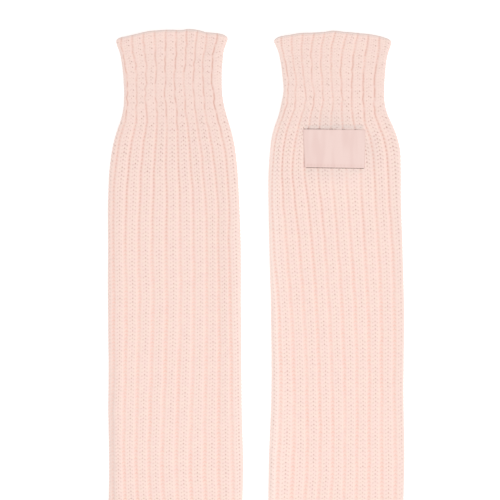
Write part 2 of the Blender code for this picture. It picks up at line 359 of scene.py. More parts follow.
# Courses of stitches from a lip, and how far from the lip they lie, up to half the length
LEFT_COURSES = (
    (0.0, 0.0), (10.0, 24.9), (23.0, 57.4), (32.0, 82.6), (41.0, 110.8),
    (50.0, 138.9), (66.0, 188.0), (80.0, 230.0), (103.5, 300.0),
)
RIGHT_COURSES = (
    (0.0, 0.0), (10.0, 24.9), (23.0, 57.4), (32.0, 83.2), (41.0, 112.0),
    (50.0, 141.0), (66.0, 192.0), (80.0, 236.0), (100.5, 300.0),
)


# Sections of the lower end, which is alike on both sides: their distance up from the lower
# lip, half the width, and half the way between the outermost channels
FOOT_SECTIONS = (
    (170.0, 54.6, 48.4), (130.0, 53.4, 47.4), (106.0, 51.4, 45.4), (90.0, 48.6, 42.8),
    (78.0, 45.0, 39.6), (66.0, 42.0, 36.8), (52.0, 40.6, 35.4), (36.0, 41.0, 35.8),
    (22.0, 43.0, 37.6), (12.0, 45.0, 39.2), (5.0, 45.8, 39.8), (1.5, 45.2, 39.2),
    (0.0, 44.6, 38.8),
)


@dataclass(frozen=True)
class Stitch:
    """Form of one rib's stitches, in mm, or in the unit that it says."""

    wale_centre: float = 0.182  # from a rib's middle to the middle of a wale, in ribs
    slant: float = 0.42  # courses that a stitch's legs climb from its middle to its sides
    settle: float = 3.0  # courses over which the stitches take their slant at a lip
    purl_starts: float = 1.7  # half wales from a rib's middle to the purl wale
    bump: float = 0.32  # height of the purl bumps in a channel
    bump_side: Pair = (1.8, 2.3)  # half wales to where one starts, and is full
    shoulder: float = 0.42  # from a channel to where a rib is full, in ribs
    cuff_shoulder: float = 0.3  # the same in a cuff, where the channels close up
    squareness: float = 2.6  # how steeply a rib rises from its channels
    opened_height: float = 0.95  # of a rib that a fold stretches flat, as a share
    leg: float = 0.18  # height of a leg over the groove between two
    crease: float = 0.2  # depth between the two wales of a rib
    crease_width: float = 0.3  # half wales
    big_hole: float = 0.8  # deeper still between four legs of two wales
    small_hole: float = 0.55  # and in the point of a stitch's V
    point_width: float = 0.25  # half wales

    def zigzag(self, rib: Array) -> Array:
        """Share of the slant: 0 in a wale's middle, 1 between two wales and in a channel."""
        aside = self.wales_from_middle(rib)
        purl_wale = 0.5 / self.wale_centre - self.purl_starts
        in_channel = np.maximum(0.0, aside - self.purl_starts) / purl_wale
        return np.where(aside < 1.0, 1.0 - aside, in_channel)

    def wales_from_middle(self, rib: Array) -> Array:
        """Distance from the nearest rib's middle, in half wales."""
        return np.abs(rib - np.floor(rib) - 0.5) / self.wale_centre

    def height(
        self, rib: Array, course: Array, drawn_in: Array, opened: Array, loose: Array
    ) -> Array:
        """Height of the cloth's face over the bottom of a channel, away from the lips.

        Args:
            rib: place round the tube, in ribs.
            course: place along the yarn's legs, in courses, a whole number in each groove.
            drawn_in: 0 on the leg and 1 in a cuff.
            opened: 1 where a fold stretches the channels flat.
            loose: about 0 to 1, how open each hole is.

        Returns:
            Heights in mm.
        """
        aside = self.wales_from_middle(rib)
        to_channel = 0.5 - aside * self.wale_centre
        shoulder = blend(self.shoulder, self.cuff_shoulder, drawn_in)
        dome = 1.0 - (1.0 - np.clip(to_channel / shoulder, 0.0, 1.0)) ** self.squareness
        dome = blend(dome, self.opened_height, opened)
        groove = groove_at(course)
        between = hump(aside, self.crease_width)
        point = hump(aside - 1.0, self.point_width)
        legs = blend(self.leg, self.bump, ramp(aside, *self.bump_side)) * (0.5 - groove)
        holes = groove**2 * loose * (between * self.big_hole + point * self.small_hole)
        return dome * (CREST_WALL - CHANNEL_WALL) + legs - between * self.crease - holes


@dataclass(frozen=True)
class KnitYarn:
    """Soft double-knitting yarn, spun of acrylic and wool and knitted in a 2x1 rib.

    Matt, with a faint whitish painted sheen at grazing angles. The stitches' holes get grey
    painted shade, and the channels between ribs a warmer painted shade, for light that comes out
    of them twice dyed.
    """

    name: str = "acrylic_wool_rib_knit"
    yarn: str = "#F9E0D5"
    yarn_rosy: str = "#F9DDD5"
    # painted shade of the denser cuff knit, also laid round the label and by the dark left fold
    cuff: str = "#F6DBD2"
    # warm painted shade in the channels between ribs, for light twice dyed there
    channel: str = "#F5C9BB"
    # painted shade lines and dots in the channels, strongest in the cuffs
    cuff_channel_shade: str = "#E1B3A5"
    # painted shade in the holes between the stitches
    hole: str = "#D4AA9F"
    # painted grey shade on the lips, the cuffs' sides, the crease, round the label and by the
    # right fold
    grey_shade: str = "#DFCFC9"
    # painted sheen: a whitish colour laid on faces seen at grazing angles
    painted_sheen: str = "#F4ECE9"
    # painted light on the lighter folds
    fold: str = "#FFEFE8"
    roughness: float = 0.92
    specular: float = 0.3
    sheen: float = 0.2
    sheen_roughness: float = 0.6
    sheen_tint: str = "#FFF1EA"
    hole_length: float = 0.3  # courses from a hole's middle to its ends
    hole_width: float = 0.08  # ribs from its middle to its sides
    channel_width: float = 0.2  # ribs from a channel's middle to where its tint ends
    channel_core: float = 0.08  # and to where it is full
    mark_width: float = 0.1  # the same in a cuff, where a channel closes up
    mark_core: float = 0.02
    small_hole: float = 0.62  # strength of the holes' painted shade in the stitches' points
    bar: float = 0.24  # tint of a channel between its purl bumps
    rosy_range: Pair = (0.35, 0.65)  # where the patches' noise starts and ends
    painted_sheen_from: float = 0.55  # how far a face turns away before its painted sheen starts
    painted_sheen_most: float = 0.8
    ply_ribs: float = 0.062  # from one ply's line to the next along a leg, 1.3 mm
    ply_slope: float = 1.5
    ply_share: float = 0.2  # of the plies in the fuzz
    fuzz_height: float = 0.25  # mm
    fuzz_strength: float = 0.5
    fibre: float = 0.45  # mm, coarser than real fibre, which would not show
    mottle: float = 4.0  # mm, the patches in which the dye took unevenly

    def material(self, stitch: Stitch) -> bpy.types.Material:
        """Builds the yarn's material on the knit's own UV map, in ribs and courses.

        The mesh carries how strong each thing is: the painted shade in the holes, in the channels
        and in the darker lines and dots there, the cuffs' painted shade, the painted grey shade
        of the lips, the cuffs' sides, the crease, the label's seams and the grey fold, and the
        painted light on the lighter folds.

        Args:
            stitch: the stitches that the colours follow.

        Returns:
            The material.
        """
        material, tree = new_material(self.name)
        uv = add_node(tree, "UVMap", {"uv_map": UV_NAME}).outputs["UV"]
        spot = add_node(tree, "TexCoord").outputs["Object"]
        place = add_node(tree, "SeparateXYZ", None, {"Vector": uv}).outputs
        facing = add_node(tree, "LayerWeight", None, {"Blend": 0.5}).outputs["Facing"]
        lines = (2.0 * math.pi / self.ply_ribs, 2.0 * math.pi * self.ply_slope, 0.0)
        plies = add_node(
            tree, "VectorMath", {"operation": "DOT_PRODUCT"}, {0: uv, 1: lines}
        ).outputs["Value"]
        share = {"rib": place["X"], "course": place["Y"], "facing": facing, "plies": plies}
        for name, size, detail, roughness in (
            ("patches", self.mottle, 4.0, 0.5),
            ("fibres", self.fibre, 3.0, 0.7),
        ):
            noise = {"Scale": 1.0 / (size * MM), "Detail": detail, "Roughness": roughness}
            share[name] = add_node(tree, "TexNoise", None, {"Vector": spot, **noise}).outputs[0]
        for name in ("loose", "sunk", "dark_channel_shade", "drawn_in", "grey_shade", "painted_light"):
            share[name] = add_node(tree, "Attribute", {"attribute_name": name}).outputs["Fac"]
        # Each is a share, how it is worked out, and from which values in turn
        steps = (
            ("across", "PINGPONG", "rib", 0.5),
            ("along", "PINGPONG", "course", 0.5),
            ("from_point", "SUBTRACT", "across", 0.5 - stitch.wale_centre),
            ("from_point", "ABSOLUTE", "from_point"),
            ("groove", "SMOOTHSTEP", "along", self.hole_length, 0.0),
            ("between", "SMOOTHSTEP", "across", 0.5 - self.hole_width, 0.5),
            ("point", "SMOOTHSTEP", "from_point", self.hole_width, 0.0),
            ("channel", "SMOOTHSTEP", "across", self.channel_width, self.channel_core),
            ("mark", "SMOOTHSTEP", "across", self.mark_width, self.mark_core),
            ("rosy", "SMOOTHSTEP", "patches", *self.rosy_range),
            # painted sheen, strongest where a face turns away from the view
            ("painted_sheen", "SMOOTHSTEP", "facing", self.painted_sheen_from, 1.0, 0.0, self.painted_sheen_most),
            ("hole", "MULTIPLY_ADD", "point", self.small_hole, "between"),
            ("hole", "MULTIPLY", "hole", "groove"),
            ("hole", "MULTIPLY", "hole", "loose"),
            ("bars", "MULTIPLY_ADD", "groove", 1.0 - self.bar, self.bar),
            ("channel", "MULTIPLY", "channel", "sunk"),
            ("channel", "MULTIPLY", "channel", "bars"),
            ("mark", "MULTIPLY", "mark", "dark_channel_shade"),
            ("plies", "SINE", "plies"),
            ("fuzz", "MULTIPLY_ADD", "plies", self.ply_share, "fibres"),
        )
        for name, way, *values in steps:
            inputs = {i: share.get(value, value) for i, value in enumerate(values)}
            if way == "SMOOTHSTEP":
                node = add_node(tree, "MapRange", {"interpolation_type": way}, inputs)
            else:
                node = add_node(tree, "Math", {"operation": way}, inputs)
            share[name] = node.outputs[0]
        colour = srgb(self.yarn)
        # Over the yarn's own colour and its rosy dye patches go painted light on the lighter
        # folds, painted shade in the cuffs, channels, holes, grey places and channel lines, and
        # the painted sheen
        for name, tint in (
            ("rosy", self.yarn_rosy),
            ("painted_light", self.fold),
            ("drawn_in", self.cuff),
            ("channel", self.channel),
            ("hole", self.hole),
            ("grey_shade", self.grey_shade),
            ("mark", self.cuff_channel_shade),
            ("painted_sheen", self.painted_sheen),
        ):
            colour = add_node(
                tree, "Mix", {"data_type": "RGBA"}, {0: share[name], 6: colour, 7: srgb(tint)}
            ).outputs[2]
        bump = {
            "Strength": self.fuzz_strength,
            "Distance": self.fuzz_height * MM,
            "Height": share["fuzz"],
        }
        close_material(
            tree,
            {
                "Base Color": colour,
                "Roughness": self.roughness,
                "IOR": IOR,
                "Specular IOR Level": self.specular,
                "Sheen Weight": self.sheen,
                "Sheen Roughness": self.sheen_roughness,
                "Sheen Tint": srgb(self.sheen_tint),
                "Normal": add_node(tree, "Bump", None, bump).outputs["Normal"],
            },
        )
        return material


@dataclass(frozen=True)
class Lie:
    """How the middle of the cloth lies, place by place round a tube.

    flat says where it lies on the floor, and opened where a fold stretches the ribs apart.
    """

    x: Array
    z: Array
    out_x: Array
    out_z: Array
    flat: Array
    opened: Array


@dataclass(frozen=True)
class Spots:
    """The points of a tube's outside, before its stitches raise them."""

    rib: Array
    course: Array
    down: Array
    from_lip: Array
    cut: Section
    lie: Lie
    x: Array  # place across, with the wavering of the ribs
    drawn_in: Array  # 0 on the leg and 1 in a cuff
    bound_off: Array  # 1 along a lip, in the smooth cast-on edge
    chance: Array  # from 0 to 1 at random, one value for each hole
    stretched: Array  # how far the label holds the ribs flat and apart
    gathered_and_shaded: Array  # how far its seams draw in the ribs round it, opening their holes, and how much painted shade the knit gets there
    crease: Array  # how deep the long crease is


@dataclass(frozen=True)
class Patch:
    """A soft patch of a leg warmer's face, by its middle and its reach both ways in mm."""

    x: float
    width: float
    down: float
    length: float
    strength: float = 1.0

    def at(self, down: Array, x: Array) -> Array:
        """How strong it is at any places."""
        return self.strength * hump(x - self.x, self.width) * hump(down - self.down, self.length)


# The label's middle on its leg warmer, what the label and its seams do to the knit, and the
# painted shade round it
LABEL_X = -0.8
LABEL_DOWN = 96.4
LABEL_SUNK = 0.45  # how far it presses the ribs down
PRESSED_SIDES = (26.4, 25.2)  # from its middle to where pressing starts, and is full
PRESSED_ENDS = (17.4, 16.4)  # the same along the tube
STRETCHED = Patch(5.0, 24.0, 114.0, 24.0)
# Where the seams open the holes and the knit gets painted shade, above, below and beside the
# label
GATHERED_AND_SHADED = (
    Patch(-3.0, 22.0, 75.0, 9.0),
    Patch(-3.0, 22.0, 117.0, 6.0, 0.7),
    Patch(30.0, 6.0, 98.0, 16.0, 0.8),
)
SHADED = (
    Patch(0.0, math.inf, 79.2, 2.4, 0.62),
    Patch(0.0, 14.0, 74.5, 5.0, 0.25),
    Patch(0.0, math.inf, 114.5, 2.5, 0.3),
)
SHADED_SIDES = (26.0, 22.0)  # from its middle to where the shade starts, and is full

# The long crease beside the first channel
CREASE_STARTS = (240.0, 330.0)  # how far down it begins, and is full
CREASE_ENDS = (470.0, 390.0)  # how far down it has ended, and is still full
CREASE_IN = 0.8  # from the channel to its middle
CREASE_WIDTH = 1.2
CREASE_DEPTH = 0.3

# How flat the ribs get: their level as a share of their height, the share of their relief
# that is left, and how far this goes
FLATTER_BY_LABEL = (0.8, 0.4, 0.7)
FLATTER_IN_CUFF = (0.85, 0.6, 0.7)
FLATTER_AT_LIP = (0.8, 0.45, 1.0)


@dataclass(frozen=True)
class Unevenness:
    """A random wavering of the knit, with its strength on the leg and what a cuff adds."""

    seed: int  # added to the leg warmer's own
    length: float  # of its waves along the tube
    on_leg: float
    cuff_adds: float = 0.0

    def at(self, seed: int, rib: Array, along: Array, drawn_in: Array | float = 0.0) -> Array:
        """Its value at any places, which is above 0 in some and below it in others."""
        waves = soft_noise(seed + self.seed, rib, along / self.length, RIBS_ROUND)
        return waves * (self.on_leg + self.cuff_adds * drawn_in)


COURSES_WAVER = Unevenness(0, 11.0, 0.22)  # mm along the tube
RIBS_WAVER = Unevenness(1, 13.0, 0.3, 0.25)  # mm across it
RIBS_SHAKE = Unevenness(4, 4.0, 0.0, 0.6)  # mm across it
FACE_WAVES = Unevenness(3, 17.0, 0.08, 0.16)  # mm of height
MARKS_VARY = Unevenness(6, 1.7, 0.5)  # with its length in courses
CHANNELS_VARY = Unevenness(8, 40.0, 1.0)  # of their tones
HOLE_SEED = 2  # added to the leg warmer's own
DEEPEST_HOLE = 1.3  # the openness past which a hole gets no deeper
CUFF_SHADE = 0.6  # how strongly the cuffs' painted shade shows, and that round the label and by the dark left fold
INSIDE_TONE = 0.5  # how strong the channels' warm painted shade is on the inside


@dataclass(frozen=True)
class HoleSizes:
    """How open the holes between the stitches are, where 1 is open."""

    leg: float = 0.5
    leg_chance: float = 0.45  # at most so much more
    cuff: float = 0.2
    cuff_chance: float = 0.3
    cuff_wide: float = 0.8  # more again for a few
    cuff_rarity: int = 6  # how few they are
    elastic: Pair = (0.1, 3.0)  # where a cuff's elastic skips, and holds
    elastic_phase: float = 0.6  # ribs from a channel to the wale that the elastic holds
    elastic_least: float = 0.25
    elastic_chance: float = 0.9
    near_cuff: float = 95.0  # mm from a lip to where the leg's holes are widest
    near_cuff_reach: float = 28.0
    near_cuff_more: float = 0.25
    gathered_more: float = 0.5
    fold_closes: Pair = (0.9, 0.5)  # how upright the cloth stands there
    dark_fold_keeps: float = 0.6


@dataclass(frozen=True)
class ChannelTones:
    """How strong the channels' warm painted shade is, and the darker painted shade lines and dots
    in them.
    """

    warm: float = 0.6  # at least, and up to 1 by chance
    warm_varies: float = 0.22
    cuff_less: float = 0.5
    shoulder_more: float = 1.2
    near_cuff: Pair = (240.0, 90.0)  # mm from a lip: no dots, and all of them
    # painted shade dots in the channels near the cuffs, between the purl bumps
    dots: float = 0.8
    dots_vary: float = 0.3
    dots_less: float = 0.6  # what they take from the warm tone
    between_dots: float = 0.1
    label_less: float = 0.8
    # strength of the painted shade lines in the cuffs' closed-up channels
    mark: float = 0.45
    mark_makers: tuple[float, float, float] = (0.8, 0.6, 0.4)  # patches, chance, the channel
    mark_breaks: Pair = (0.86, 1.46)  # their sum where a painted shade line is gone, and full


@dataclass(frozen=True)
class FoldTones:
    """How the painted shade and painted light by the folds, and the painted grey shade of the
    lips, the cuffs' sides, the crease and round the label, are laid on.
    """

    left_in: float = 1.5
    left_width: float = 6.5
    right_width: float = 6.0
    cuff_sides: float = 0.5
    sides_turn: Pair = (1.0, 0.1)  # how upright the cloth stands there
    # painted grey shade in the long crease
    crease: float = 0.42
    gathered_and_shaded: float = 0.3


@dataclass
class LegWarmer:
    """One knitted tube, laid flat, with its place and its arched lips."""

    name: str
    node: str
    axis_x: float
    top_y: float
    sections: tuple[tuple[float, ...], ...]  # each with the values of a Section
    lip: tuple[Pair, ...]
    course_places: tuple[Pair, ...]
    seed: int
    stitch: Stitch
    marks: tuple[float, ...]  # how dark each channel's painted shade lines are in the cuffs, from the left
    left_fold_tone: float = 0.0  # 1 where it gets painted shade and its holes stay open, and -1 where it gets painted light and they close
    right_fold_tone: float = 0.0  # how much painted grey shade it gets, or where below 0 how much painted light
    creased: bool = False  # its left fold has a crease low down
    carries_label: bool = False

    @property
    def courses(self) -> float:
        """Rows of stitches from lip to lip."""
        return 2.0 * self.course_places[-1][0]

    def down_at(self, course: Array) -> Array:
        """Distance from the upper lip of places in courses, which lie closer in the cuffs."""
        near = np.minimum(course, self.courses - course)
        place = read_table(np.array(self.course_places), near)[..., 0]
        return np.where(course < self.courses / 2, place, LENGTH - place)

    def table(self) -> Array:
        """The sections from the upper lip to the lower one, as an array."""
        foot = [
            (LENGTH - up, -half_width, half_width, -channel_half, channel_half, 0.0, 0.0)
            for up, half_width, channel_half in FOOT_SECTIONS
        ]
        return np.array([*self.sections, *foot])

    def cut_at(self, down: Array) -> Section:
        """The section at any places along the tube, as a Section of arrays."""
        values = read_table(self.table(), down)
        return Section(down, *np.moveaxis(values, -1, 0))

    def drawn_in(self, cut: Section) -> Array:
        """How far the cloth is drawn in: 0 on the leg and 1 in a cuff."""
        narrower = 1.0 - (cut.right - cut.left) / BODY_WIDTH
        return np.clip(narrower / CUFF_NARROWER, 0.0, 1.0)

    def from_edge(self, down: Array) -> Array:
        """Distance to the nearer lip."""
        return np.minimum(down, LENGTH - down)

    def across(self, cut: Section, share: Array) -> Array:
        """Place across of a share of the way from the first channel to the last one."""
        crowd = share * (1.0 - share)
        leaning = share + cut.lean * crowd + cut.swing * crowd * (1.0 - 2.0 * share)
        return blend(cut.first_channel, cut.last_channel, leaning)

    def front_height(self, cut: Section, x: Array) -> Array:
        """Height of the middle of the cloth in the front, which swells towards each fold."""
        lip = np.maximum(0.0, 1.0 - self.from_edge(cut.down) / LIP_GAP_REACH) ** 2
        gap = LAYER_GAP + CUFF_GAP * self.drawn_in(cut) + LIP_GAP * lip
        to_fold = np.minimum(x - cut.left - FOLD_INSET, cut.right - FOLD_INSET - x)
        at_fold = hump(np.maximum(0.0, to_fold), FOLD_REACH)
        return blend(BACK_Z + 2 * INNER_WALL + gap, BACK_Z + 2 * FOLD_RADIUS, at_fold)

    def lay(self, rib: Array, down: Array) -> Lie:
        """The middle of the cloth all round the tube.

        Args:
            rib: places round the tube, in ribs, in one row.
            down: places along the tube, a row of them for each row of the mesh.

        Returns:
            Arrays of the shape of down.
        """
        cut = self.cut_at(down)
        rib = np.broadcast_to(rib, down.shape)
        x = self.across(cut, np.clip(rib / RIBS_ON_TOP, 0.0, 1.0))
        z = self.front_height(cut, x)
        out_x = np.zeros_like(x)
        out_z = np.ones_like(x)
        flat = np.zeros_like(x)
        opened = np.zeros_like(x)
        pitch = (cut.last_channel - cut.first_channel) / RIBS_ON_TOP
        centres = {}
        for fold in Fold:
            side = fold.value
            right = fold is Fold.RIGHT
            channel = cut.last_channel if right else cut.first_channel
            centre = cut.right - FOLD_INSET if right else cut.left + FOLD_INSET
            centres[fold] = centre
            round_ribs = rib - RIBS_ON_TOP if right else RIBS_ROUND - rib
            here = (round_ribs > 0.0) & (round_ribs < FOLD_RIBS)
            straight = (centre - channel) * side
            whole = straight + FOLD_TRACK * math.pi
            spare = whole - pitch * FOLD_RIBS
            path = pitch * round_ribs + spare * (round_ribs / FOLD_RIBS) ** 2
            beyond = path - straight
            angle = np.clip(beyond / FOLD_TRACK, 0.0, math.pi)
            lying = here & (beyond <= 0.0)
            turning = here & (beyond > 0.0)
            flat_x = centre + side * beyond
            x = np.where(lying, flat_x, x)
            z = np.where(lying, self.front_height(cut, flat_x), z)
            x = np.where(turning, centre + side * FOLD_RADIUS * np.sin(angle), x)
            z = np.where(turning, FOLD_Z + FOLD_RADIUS * np.cos(angle), z)
            out_x = np.where(turning, side * np.sin(angle), out_x)
            out_z = np.where(turning, np.cos(angle), out_z)
            flat = np.where(turning, ramp(angle, *FOLD_LIES), flat)
            stretched = turning & (round_ribs > FOLD_OPENS_FROM)
            opened = np.where(stretched, ramp(angle, *FOLD_OPENS), opened)
        first_under = RIBS_ON_TOP + FOLD_RIBS
        last_under = RIBS_ROUND - FOLD_RIBS
        under = (rib >= first_under) & (rib <= last_under)
        share = (rib - first_under) / (last_under - first_under)
        x = np.where(under, blend(centres[Fold.RIGHT], centres[Fold.LEFT], share), x)
        z = np.where(under, BACK_Z, z)
        out_z = np.where(under, -1.0, out_z)
        flat = np.where(under, 1.0, flat)
        return Lie(x, z, out_x, out_z, flat, opened)

    def arch_drop(self, down: Array, x: Array) -> Array:
        """How far points lie towards the garment's middle, because its lips are arched."""
        _, lip_half_width, _ = FOOT_SECTIONS[-1]
        across = np.minimum(np.abs(x) / lip_half_width, ARCH_ENDS)
        upper = read_table(np.array(self.lip), x)[..., 0]
        drop = np.where(down < LENGTH / 2, upper, -FOOT_DROP * across**ARCH_POWER)
        return drop * np.maximum(0.0, 1.0 - self.from_edge(down) / ARCH_REACH) ** 2

    def place(self, down: Array, x: Array, z: Array) -> Array:
        """Points of the leg warmer, in metres, in the pair's frame."""
        y = self.top_y - down - self.arch_drop(down, x)
        return np.stack([self.axis_x + x, y, z], axis=-1) * MM

    def shaded(self, down: Array, x: Array) -> Array:
        """How much painted grey shade the knit gets where it goes in under the label's seams,
        from 0 to 1.
        """
        seams = sum(patch.at(down, x) for patch in SHADED)
        return self.carries_label * ramp(np.abs(x - LABEL_X), *SHADED_SIDES) * seams

    def under_label(self, down: Array, x: Array) -> Array:
        """1 where the label lies on the ribs, and 0 outside of it."""
        inside = ramp(np.abs(x - LABEL_X), *PRESSED_SIDES)
        return self.carries_label * inside * ramp(np.abs(down - LABEL_DOWN), *PRESSED_ENDS)

    def crease(self, cut: Section, x: Array) -> Array:
        """How deep the long crease is that follows the first channel low down, from 0 to 1."""
        along = ramp(cut.down, *CREASE_STARTS) * ramp(cut.down, *CREASE_ENDS)
        return self.creased * along * hump(x - cut.first_channel - CREASE_IN, CREASE_WIDTH)

    def columns(self) -> Array:
        """Places of the mesh's columns round the tube, in ribs, the seam at both ends."""
        front = [rib + phase for rib in range(RIBS_ON_TOP + 1) for phase in RIB_PHASES]
        right = [RIBS_ON_TOP + 1 + phase for phase in FOLD_PHASES]
        under = np.linspace(RIBS_ON_TOP + FOLD_RIBS, RIBS_ROUND - FOLD_RIBS, UNDER_COLUMNS)
        left = [RIBS_ROUND - 1 - phase for phase in reversed(FOLD_PHASES)]
        last = [RIBS_ROUND - 1 + phase for phase in RIB_PHASES[1:]]
        return np.array([*front, *right, *under, *left, *last, RIBS_ROUND], dtype=float)

    def rows(self) -> tuple[Array, Array]:
        """Places of the mesh's rows along the tube, in courses, outside and then inside."""
        fine = np.arange(FIRST_ROW, FINE_COURSES, 1.0 / FINE_ROWS)
        plain = np.arange(FINE_COURSES, self.courses - LAST_ROW, 1.0 / PLAIN_ROWS)
        lip = np.array(LIP_ROWS)
        outside = np.concatenate([lip, fine, plain, self.courses - lip[::-1]])
        steps = np.arange(INSIDE_STEP, self.courses - INSIDE_STEP, INSIDE_STEP)
        inside = np.concatenate([self.courses - lip[1:], steps[::-1], lip[::-1]])
        return outside, inside

    def spots(self, rib: Array, course: Array) -> Spots:
        """Where the points of the outside lie.

        Args:
            rib: the mesh's columns, in ribs.
            course: its outer rows, in courses along the yarn's legs.

        Returns:
            Arrays with a row for each row of the mesh.
        """
        course = course[:, None]
        settle = smooth(np.minimum(course, self.courses - course) / self.stitch.settle)
        down = self.down_at(course - self.stitch.slant * self.stitch.zigzag(rib) * settle)
        down = down + COURSES_WAVER.at(self.seed, rib, down) * settle
        cut = self.cut_at(down)
        drawn_in = self.drawn_in(cut)
        lie = self.lay(rib, down)
        waver = RIBS_WAVER.at(self.seed, rib, down, drawn_in)
        waver = waver + RIBS_SHAKE.at(self.seed, rib, down, drawn_in)
        from_lip = self.from_edge(down)
        return Spots(
            rib=rib,
            course=course,
            down=down,
            from_lip=from_lip,
            cut=cut,
            lie=lie,
            x=lie.x + waver * (1.0 - lie.flat) * np.abs(lie.out_z),
            drawn_in=drawn_in,
            bound_off=ramp(from_lip, BOUND_OFF, 0.0),
            chance=stitch_noise(self.seed + HOLE_SEED, rib, course),
            stretched=self.carries_label * STRETCHED.at(down, lie.x),
            gathered_and_shaded=self.carries_label
            * np.maximum.reduce([patch.at(down, lie.x) for patch in GATHERED_AND_SHADED]),
            crease=self.crease(cut, lie.x),
        )

    def looseness(self, spots: Spots) -> Array:
        """How open the holes between the stitches are.

        Args:
            spots: the outside's points.

        Returns:
            About 0 to 1, and more in a few wide ones.
        """
        sizes = HoleSizes()
        chance = spots.chance
        on_leg = sizes.leg + sizes.leg_chance * chance
        plain = sizes.cuff + sizes.cuff_chance * chance
        plain = plain + sizes.cuff_wide * chance**sizes.cuff_rarity
        every_second = 0.5 + 0.5 * np.cos(math.pi * spots.course)
        elastic = blend(*sizes.elastic, every_second)
        elastic = elastic * (sizes.elastic_least + sizes.elastic_chance * chance)
        phase = spots.rib - np.floor(spots.rib)
        in_cuff = np.where(phase > sizes.elastic_phase, elastic, plain)
        loose = blend(on_leg, in_cuff, spots.drawn_in) * (1.0 - spots.bound_off)
        near_cuff = hump(spots.from_lip - sizes.near_cuff, sizes.near_cuff_reach)
        loose = loose * (1.0 + sizes.near_cuff_more * near_cuff)
        dark = np.maximum(self.left_fold_tone, 0.0) * (spots.lie.x < 0.0)
        kept = sizes.dark_fold_keeps * dark * (1.0 - spots.drawn_in)
        closed = ramp(spots.lie.out_z, *sizes.fold_closes) * (1.0 - kept)
        return loose * (1.0 - closed) * (1.0 + sizes.gathered_more * spots.gathered_and_shaded)

    def wall(self, spots: Spots, loose: Array) -> Array:
        """How far the outside stands out from the middle of the cloth.

        Args:
            spots: the outside's points.
            loose: how open the holes are there.

        Returns:
            Distances in mm.
        """
        lie = spots.lie
        deep = np.minimum(loose, DEEPEST_HOLE)
        height = self.stitch.height(spots.rib, spots.course, spots.drawn_in, lie.opened, deep)
        crest = CREST_WALL - CHANNEL_WALL
        for (level, relief, most), share in (
            (FLATTER_BY_LABEL, spots.stretched),
            (FLATTER_IN_CUFF, spots.drawn_in),
            (FLATTER_AT_LIP, spots.bound_off),
        ):
            flatter = level * crest + relief * (height - crest)
            height = blend(height, flatter, most * share)
        height = height + FACE_WAVES.at(self.seed, spots.rib, spots.down, spots.drawn_in)
        height = height - CREASE_DEPTH * spots.crease
        pressed = np.minimum(height, crest - LABEL_SUNK)
        height = blend(height, pressed, self.under_label(spots.down, spots.x))
        return blend(CHANNEL_WALL + height, UNDER_WALL, lie.flat) * rounded_edge(spots.from_lip)

    def channel_tones(self, spots: Spots) -> tuple[Array, Array]:
        """How strong the channels' warm painted shade is, and the darker painted shade lines and
        dots in them.

        Args:
            spots: the outside's points.

        Returns:
            Two arrays, from 0 to about 1.
        """
        tones = ChannelTones()
        chance = spots.chance
        drawn_in = spots.drawn_in
        on_leg = 1.0 - drawn_in
        uneven = CHANNELS_VARY.at(self.seed, np.rint(spots.rib), spots.down)
        near_cuff = ramp(spots.from_lip, *tones.near_cuff) * on_leg
        near_cuff = near_cuff * (tones.dots + tones.dots_vary * uneven)
        warm = (tones.warm + (1.0 - tones.warm) * chance) * (1.0 + tones.warm_varies * uneven)
        warm = warm * (1.0 - tones.cuff_less * drawn_in) * (1.0 - spots.lie.opened)
        warm = warm * (1.0 + tones.shoulder_more * drawn_in * on_leg)
        warm = warm * (1.0 - tones.dots_less * near_cuff)
        strength = np.ones(RIBS_ROUND)
        strength[: len(self.marks)] = self.marks
        strength = strength[np.rint(spots.rib).astype(int) % RIBS_ROUND]
        patchy = 0.5 + MARKS_VARY.at(self.seed, spots.rib, spots.course)
        whole = sum(
            share * value for share, value in zip(tones.mark_makers, (patchy, chance, strength))
        )
        in_cuff = tones.mark * strength * drawn_in * ramp(whole, *tones.mark_breaks)
        dots = near_cuff * blend(tones.between_dots, 1.0, groove_at(spots.course))
        dots = dots * (1.0 - tones.label_less * spots.stretched) * (1.0 - spots.lie.opened)
        return warm, np.maximum(in_cuff, dots)

    def outer_points(self, rib: Array, course: Array) -> tuple[Array, Looks]:
        """The ribbed outside of the tube.

        Args:
            rib: the mesh's columns, in ribs.
            course: its outer rows, in courses along the yarn's legs.

        Returns:
            Points, and by name what the yarn's material reads there.
        """
        spots = self.spots(rib, course)
        lie = spots.lie
        loose = self.looseness(spots)
        wall = self.wall(spots, loose)
        z = np.maximum(lie.z + lie.out_z * wall, 0.0)
        tones = FoldTones()
        # painted shade by the dark left fold, and painted light where a fold's tone is below 0
        by_left = hump(lie.x - spots.cut.left - tones.left_in, tones.left_width)
        by_left = by_left * self.left_fold_tone
        by_right = hump(spots.cut.right - lie.x, tones.right_width) * self.right_fold_tone
        # painted grey shade: the cast-on lips, the cuffs' turned sides, the long crease, round
        # the label and by the right fold
        painted_shade = (
            spots.bound_off,
            tones.cuff_sides * spots.drawn_in * ramp(lie.out_z, *tones.sides_turn),
            tones.crease * spots.crease,
            tones.gathered_and_shaded * spots.gathered_and_shaded,
            self.shaded(spots.down, lie.x),
            by_right,
        )
        warm, dark_channel_shade = self.channel_tones(spots)
        return self.place(spots.down, spots.x + lie.out_x * wall, z), {
            # painted shade of the cuffs, round the label and by the dark left fold
            "drawn_in": CUFF_SHADE * np.maximum.reduce([spots.drawn_in, spots.gathered_and_shaded, by_left]),
            "loose": loose,
            "sunk": warm,
            "dark_channel_shade": dark_channel_shade,
            "grey_shade": np.maximum.reduce(painted_shade) * (1.0 - lie.flat),
            "painted_light": np.maximum(0.0, np.maximum(-by_left, -by_right)),
        }

